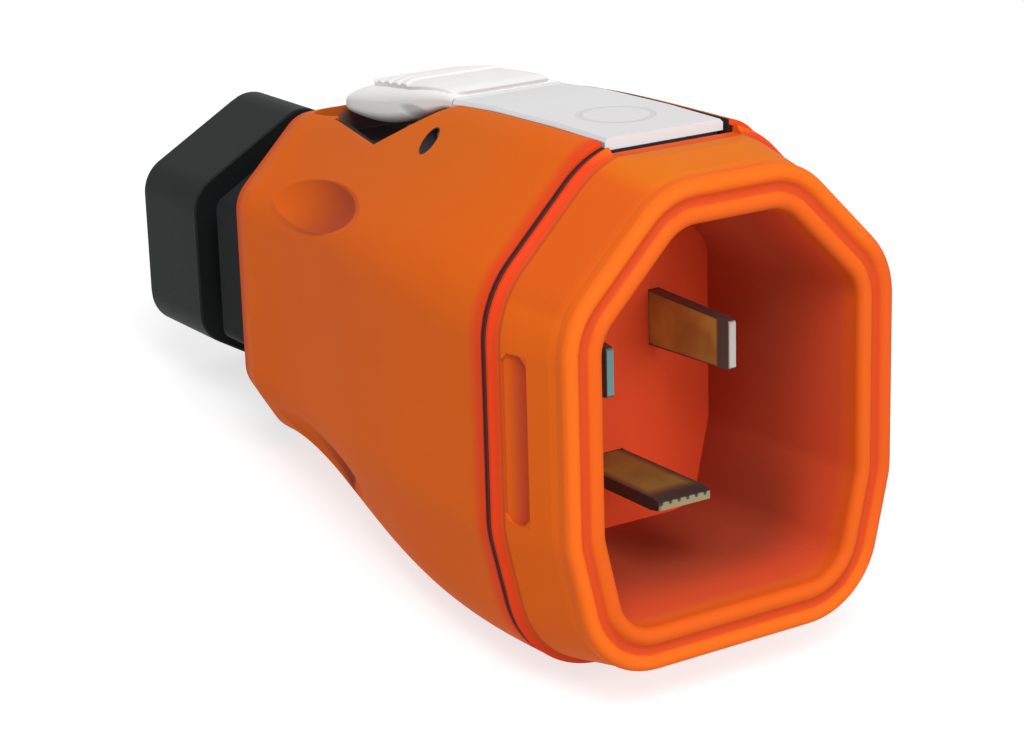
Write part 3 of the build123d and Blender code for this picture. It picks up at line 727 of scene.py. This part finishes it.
class Finishes:
    """Every material, made once."""

    # Painted shade: a darker line along the pad's front edge.
    pad_front_shade = Coat("B9B2B0", 0.8, (("y", 65.0, 63.9),))
    # Painted shade on the tray's top rim.
    tray_rim_shade = Coat("171314", 1.0, (("z", 32.2, 32.4),))

    def __init__(self) -> None:
        """Makes the materials."""
        self.shell = OrangeShell().make()
        self.lever = LeverGrey("grey_lever", tint("E2E1E2"), tint("DDDCDD"), 0.45, 0.4, 0.008).make()
        # Painted light: the pad is a lighter copy of the lever's grey.
        self.pad = Moulding(
            "lit_grey_pad", tint("FBF9F8"), tint("EFECEB"), 0.55, 0.6, 0.03, cloud_mm=5.0, coats=(self.pad_front_shade,)
        ).make()
        self.tray = Moulding(
            "black_tray", tint("544C50"), tint("4A4347"), 0.6, 0.5, 0.01, specular=0.1, coats=(self.tray_rim_shade,)
        ).make()
        self.gland = Moulding(
            "black_gland", tint("191D1D"), tint("141818"), 0.5, 0.5, 0.012, specular=0.11
        ).make()
        # Painted shade: the gland body is a darker copy of the nut's black.
        self.collar_light_shade = Moulding(
            "shaded_black_collar", tint("101415"), tint("0C1011"), 0.55, 0.5, 0.012, specular=0.08
        ).make()
        self.ring = Moulding("natural_ring", tint("D8D4C8"), tint("CFCABD"), 0.4, 0.5, 0.01).make()
        self.carrier = Moulding("grey_carrier", tint("4A4A4C"), tint("434345"), 0.55, 0.5, 0.015).make()
        self.gasket = Gasket(
            "seam_gasket", tint("3A262A"), tint("32222A"), 0.7, 0.35, 0.02, specular=0.1
        ).make()
        self.seal = Moulding(
            "black_seal", tint("2B2024"), tint("241B1E"), 0.75, 0.35, 0.02, specular=0.1
        ).make()
        # The pin's pale teal grey with little metal is partly steel's own colour and partly a painted highlight
        # on its end.
        self.pin = Steel("ground_pin", tint("A9C4CA"), tint("8FAAB0"), 0.3, metal=0.2).make()
        self.spring = Steel("spring_wire", tint("B8B8B6"), tint("A0A09E"), 0.28).make()
        self.plated = Steel("zinc_plate", tint("C8C8C2"), tint("B0B0AA"), 0.34).make()
        side = {"tip_y": 16.9, "tip_half": 4.1, "root_half": 4.8}
        self.blades = {
            "left": BladeMetal("blade_left", tint("628A88"), tip_metal=0.2, middle=(-12.2, 5.3), **side).make(),
            "right": BladeMetal("blade_right", tint("B6BAB5"), tip_metal=0.1, middle=(12.2, 5.3), **side).make(),
            "earth": BladeMetal(
                "blade_earth",
                tint("8E8664"),
                tip_y=13.7,
                tip_metal=0.3,
                middle=(0.0, -18.0),
                tip_half=5.25,
                root_half=5.25,
                upright=False,
                fade=1.8,
                teeth=0.6,
                face=tint("85803F"),
                stain=tint("6E6636"),
                dark=tint("30343C"),
            ).make(),
        }


def wear(piece: bpy.types.Object, material: bpy.types.Material) -> None:
    """Gives a piece one material in place of those it came with."""
    piece.data.materials.clear()
    piece.data.materials.append(material)


class Frame:
    """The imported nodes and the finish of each."""

    def __init__(self, finishes: Finishes) -> None:
        """Lists which node wears which finish."""
        self.bevel_dark = {
            "front_shroud": finishes.shell,
            "rear_body": finishes.shell,
            "seam_gasket": finishes.gasket,
            "latch_lever": finishes.lever,
            "latch_pin": finishes.pin,
            "latch_spring": finishes.spring,
            "spring_tray": finishes.tray,
            "contact_carrier": finishes.carrier,
            "gland_body": finishes.collar_light_shade,
            "gland_locknut": finishes.gland,
            "gland_nut": finishes.gland,
            "gland_washer": finishes.seal,
            "cable_seal": finishes.seal,
            "slip_ring": finishes.ring,
        }
        for side in ("left", "right", "earth"):
            self.bevel_dark[f"blade_{side}"] = finishes.blades[side]
            self.bevel_dark[f"clamp_plate_{side}"] = finishes.plated
            self.bevel_dark[f"terminal_screw_{side}"] = finishes.plated
        for index in (1, 2, 3):
            self.bevel_dark[f"carrier_screw_{index}"] = finishes.plated

    def dress(self) -> None:
        """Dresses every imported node."""
        for name, material in self.bevel_dark.items():
            wear(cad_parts[name], material)
            LOG.info("dressed %s", name)


class Bench:
    """A new piece under the modelling operators."""

    smooth_angle = math.radians(40)

    def __init__(self, name: str) -> None:
        """Takes up the object that an operator has just added."""
        self.piece = bpy.context.object
        self.piece.name = name
        self.piece.data.name = name

    def pick(self, wanted: Callable[[bmesh.types.BMVert], bool]) -> None:
        """Selects the vertices that are wanted, and no others, in edit mode."""
        bpy.ops.object.mode_set(mode="EDIT")
        bpy.ops.mesh.select_mode(type="VERT")
        bpy.ops.mesh.select_all(action="DESELECT")
        shape = bmesh.from_edit_mesh(self.piece.data)
        for vert in shape.verts:
            vert.select_set(wanted(vert))
        shape.select_flush_mode()
        bmesh.update_edit_mesh(self.piece.data)

    def move_z(self, rise: float) -> None:
        """Moves the selected vertices up by so many millimetres."""
        bpy.ops.transform.translate(value=(0.0, 0.0, rise * MM))

    def modify(self, kind: str, **settings: Any) -> None:
        """Adds a modifier and applies it.

        Args:
            kind: Blender's name of the modifier type.
            settings: Its properties.
        """
        bpy.ops.object.mode_set(mode="OBJECT")
        modifier = self.piece.modifiers.new(kind.title(), kind)
        for key, value in settings.items():
            setattr(modifier, key, value)
        bpy.ops.object.modifier_apply(modifier=modifier.name)

    def finish(self, body: str, slot: str, material: bpy.types.Material) -> bpy.types.Object:
        """Smooths the piece, dresses it and hands it to its body.

        Args:
            body: The body that it rides on.
            slot: Not used.
            material: What it wears.

        Returns:
            The finished piece.
        """
        bpy.ops.object.mode_set(mode="EDIT")
        bpy.ops.mesh.select_all(action="SELECT")
        bpy.ops.mesh.normals_make_consistent(inside=False)
        bpy.ops.object.mode_set(mode="OBJECT")
        bpy.ops.object.shade_smooth_by_angle(angle=self.smooth_angle)
        wear(self.piece, material)
        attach(self.piece, body)
        LOG.info("made %s, %d faces", self.piece.name, len(self.piece.data.polygons))
        return self.piece


@dataclass(frozen=True)
class ThumbPad:
    """The raised, ribbed field on the lever's thumb end."""

    front_y: float = 63.4
    rear_y: float = 94.6
    half_width: float = 9.9
    rear_half_width: float = 8.6
    narrowing_share: float = 0.5
    corner: float = 2.6
    thickness: float = 0.62
    sink: float = 0.4
    front_step: float = 0.2
    lead: float = 4.0
    rib_start_y: float = 79.6
    rib_pitch: float = 3.3
    rib_width: float = 1.9
    rib_height: float = 0.42
    rib_end: float = 0.3
    columns: int = 18
    rows: int = 56
    same_row: float = 0.01
    near_row: float = 0.2
    start_z: float = 50.0
    edge: float = 0.2
    edge_segments: int = 2
    edge_angle: float = math.radians(50)

    def row_half(self, y: float) -> float:
        """Gives the pad's half width at y, with rounded corners at both ends."""
        share = (y - self.front_y) / (self.rear_y - self.front_y)
        narrowed = max(0.0, share - self.narrowing_share) / (1.0 - self.narrowing_share)
        half = self.half_width + (self.rear_half_width - self.half_width) * narrowed
        end = min(y - self.front_y, self.rear_y - y)
        if end >= self.corner:
            return half
        return half - self.corner + math.sqrt(max(0.0, self.corner**2 - (self.corner - end) ** 2))

    def on_rib(self, y: float) -> bool:
        """Tells whether a rib passes over y."""
        past = y - self.rib_start_y
        return past >= 0 and past % self.rib_pitch < self.rib_width and y < self.rear_y - self.rib_end

    def lay_grid(self) -> tuple[Bench, list[float]]:
        """Lays a flat grid of the pad's outline above the lever.

        Returns:
            The bench that holds it, and the y of each of its rows.
        """
        bpy.ops.object.select_all(action="DESELECT")
        bpy.ops.mesh.primitive_grid_add(x_subdivisions=self.columns, y_subdivisions=self.rows, size=1.0)
        bench = Bench("thumb_pad")
        bench.pick(lambda vert: True)
        length = self.rear_y - self.front_y
        size = (2 * self.half_width * MM, length * MM, 1.0)
        bpy.ops.transform.resize(value=size, center_override=(0, 0, 0))
        bpy.ops.transform.translate(value=(0.0, (self.front_y + length / 2) * MM, self.start_z * MM))
        shape = bmesh.from_edit_mesh(bench.piece.data)
        rows = sorted({round(vert.co.y / MM, 3) for vert in shape.verts})
        for y in rows:
            share = self.row_half(y) / self.half_width
            bench.pick(lambda vert: abs(vert.co.y / MM - y) < self.same_row)
            bpy.ops.transform.resize(value=(share, 1.0, 1.0), center_override=(0, y * MM, self.start_z * MM))
        return bench, rows

    def drop(self, bench: Bench) -> int:
        """Drops the grid onto the lever and thickens it.

        Args:
            bench: The bench that holds the grid.

        Returns:
            How many of its first vertices make up the outer face.
        """
        bench.modify(
            "SHRINKWRAP",
            wrap_method="PROJECT",
            target=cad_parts["latch_lever"],
            use_project_z=True,
            use_negative_direction=True,
            use_positive_direction=False,
        )
        count = len(bench.piece.data.vertices)
        bench.pick(lambda vert: True)
        bench.move_z(-self.sink)
        bench.modify("SOLIDIFY", thickness=(self.thickness + self.sink) * MM, offset=1.0)
        return count

    def build(self, finishes: Finishes) -> None:
        """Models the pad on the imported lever, with its ribs and its low front edge."""
        bench, rows = self.lay_grid()
        count = self.drop(bench)
        bench.pick(lambda vert: vert.index < count and self.on_rib(vert.co.y / MM))
        bench.move_z(self.rib_height)
        for y in (row for row in rows if row < self.front_y + self.lead):
            fall = (1.0 - (y - self.front_y) / self.lead) * (self.thickness - self.front_step)
            bench.pick(lambda vert: vert.index < count and abs(vert.co.y / MM - y) < self.near_row)
            bench.move_z(-fall)
        bench.modify(
            "BEVEL",
            width=self.edge * MM,
            segments=self.edge_segments,
            limit_method="ANGLE",
            angle_limit=self.edge_angle,
        )
        bench.modify("SUBSURF", levels=1)
        bench.finish("latch", "lever", finishes.pad)


@dataclass(frozen=True)
class LatchCoil:
    """The latch spring as a piece of its own."""

    seat: Point = (0.0, 91.0, 28.0)
    keep: float = 0.55
    merge: float = 0.001

    def build(self, finishes: Finishes) -> None:
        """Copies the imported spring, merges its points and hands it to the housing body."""
        bpy.ops.object.select_all(action="DESELECT")
        copy = bpy.data.objects.new("latch_coil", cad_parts["latch_spring"].data.copy())
        bpy.context.scene.collection.objects.link(copy)
        bpy.context.view_layer.objects.active = copy
        copy.select_set(True)
        bench = Bench("latch_coil")
        bench.pick(lambda vert: True)
        bpy.ops.mesh.remove_doubles(threshold=self.merge * MM)
        coil = bench.finish("housing", "spring", finishes.spring)
        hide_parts("latch_spring")
        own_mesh(coil)


@dataclass(frozen=True)
class Lamp:
    """One square soft lamp turned to the connector, with the length of its side and its power in watts."""

    name: str
    place: Point
    size: float
    power: float
    aim: Point = (0.0, 60.0, 0.0)

    def hang(self) -> None:
        """Hangs the lamp."""
        data = bpy.data.lights.new(self.name, "AREA")
        data.shape = "SQUARE"
        data.size = self.size * MM
        data.energy = self.power
        lamp = bpy.data.objects.new(self.name, data)
        bpy.context.scene.collection.objects.link(lamp)
        aim = Vector(self.aim) - Vector(self.place)
        turned = aim.to_track_quat("-Z", "Y").to_matrix().to_4x4()
        lamp.matrix_world = Matrix.Translation(Vector(self.place) * MM) @ turned


@dataclass(frozen=True)
class Studio:
    """The camera, the pale floor and the soft lamps.

    The floor shows brighter to the eye, in mirrors and through glass than the light that it gives. The world
    shows brighter to the eye and in mirrors.
    """

    eye: Point = (-252.6, -325.1, 136.8)
    right: Point = (0.8339, -0.5512, -0.0275)
    up: Point = (0.187, 0.2354, 0.9537)
    lens: float = 97.34
    sensor: float = 36.0
    clip: Pair = (10.0, 100000.0)
    belly_foot: Point = (0.0, 40.94, -41.56)
    nut_foot: Point = (0.0, 157.1, -26.94)
    floor_size: float = 12000.0
    paper: Colour = tint("B4B4B4")
    floor_light: float = 0.22
    floor_shown: float = 0.48
    sky_light: float = 0.45
    sky_shown: float = 0.55
    key: Lamp = Lamp("key", (-250.0, -420.0, 620.0), 420.0, 4.2)
    front: Lamp = Lamp("front", (160.0, -700.0, 160.0), 380.0, 2.2)

    def set_camera(self) -> None:
        """Puts the camera where the photograph was taken from."""
        data = bpy.data.cameras.new("photo_camera")
        data.lens = self.lens
        data.sensor_width = self.sensor
        data.sensor_fit = "HORIZONTAL"
        data.clip_start, data.clip_end = (end * MM for end in self.clip)
        camera = bpy.data.objects.new("photo_camera", data)
        bpy.context.scene.collection.objects.link(camera)
        right = Vector(self.right).normalized()
        up = Vector(self.up)
        up = (up - right * up.dot(right)).normalized()
        turned = Matrix((right, up, right.cross(up))).transposed().to_4x4()
        camera.matrix_world = Matrix.Translation(Vector(self.eye) * MM) @ turned
        bpy.context.scene.camera = camera

    def seen(self, sheet: Sheet, *rays: str) -> Signal:
        """Gives 1 to the kinds of ray named, and 0 to all others."""
        path = sheet.node("ShaderNodeLightPath", {}, {}).socket.node
        first, *others = (Signal(sheet, path.outputs[ray]) for ray in rays)
        for other in others:
            first = first.most(other)
        return first

    def lay_floor(self) -> None:
        """Lays the floor that the belly and the nut rest on."""
        bpy.ops.object.select_all(action="DESELECT")
        bpy.ops.mesh.primitive_plane_add(size=self.floor_size * MM)
        floor = bpy.context.object
        floor.name = "floor"
        front, rear = Vector(self.belly_foot), Vector(self.nut_foot)
        tilt = math.atan2(rear.z - front.z, rear.y - front.y)
        floor.data.transform(Matrix.Translation(front * MM) @ Matrix.Rotation(tilt, 4, "X"))
        sheet = Sheet(bpy.data.materials.new("pale_floor"))
        seen = self.seen(sheet, "Is Camera Ray", "Is Glossy Ray", "Is Transmission Ray")
        paper = sheet.node("ShaderNodeBsdfDiffuse", {}, {"Color": self.paper})
        strength = seen * self.floor_shown + self.floor_light
        glow = sheet.node("ShaderNodeEmission", {}, {"Color": WHITE, "Strength": strength})
        sheet.end(sheet.node("ShaderNodeAddShader", {}, {0: paper, 1: glow}))
        wear(floor, sheet.owner)

    def set_world(self) -> None:
        """Fills the air with soft light and shows it as white."""
        sheet = Sheet(bpy.data.worlds.new("white_room"))
        bpy.context.scene.world = sheet.owner
        strength = self.seen(sheet, "Is Camera Ray", "Is Glossy Ray") * self.sky_shown + self.sky_light
        sky = sheet.node("ShaderNodeBackground", {}, {"Color": WHITE, "Strength": strength})
        sheet.end(sky, "ShaderNodeOutputWorld")

    def build(self) -> None:
        """Sets up the whole studio."""
        self.set_camera()
        self.lay_floor()
        self.set_world()
        self.key.hang()
        self.front.hang()
        bpy.context.scene.view_settings.view_transform = "Standard"


def main() -> None:
    """Builds the looks in order."""
    logging.basicConfig(level=logging.INFO, format="%(message)s")
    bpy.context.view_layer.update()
    finishes = Finishes()
    Frame(finishes).dress()
    ThumbPad().build(finishes)
    LatchCoil().build(finishes)
    Studio().build()


if __name__ == "__main__":
    main()
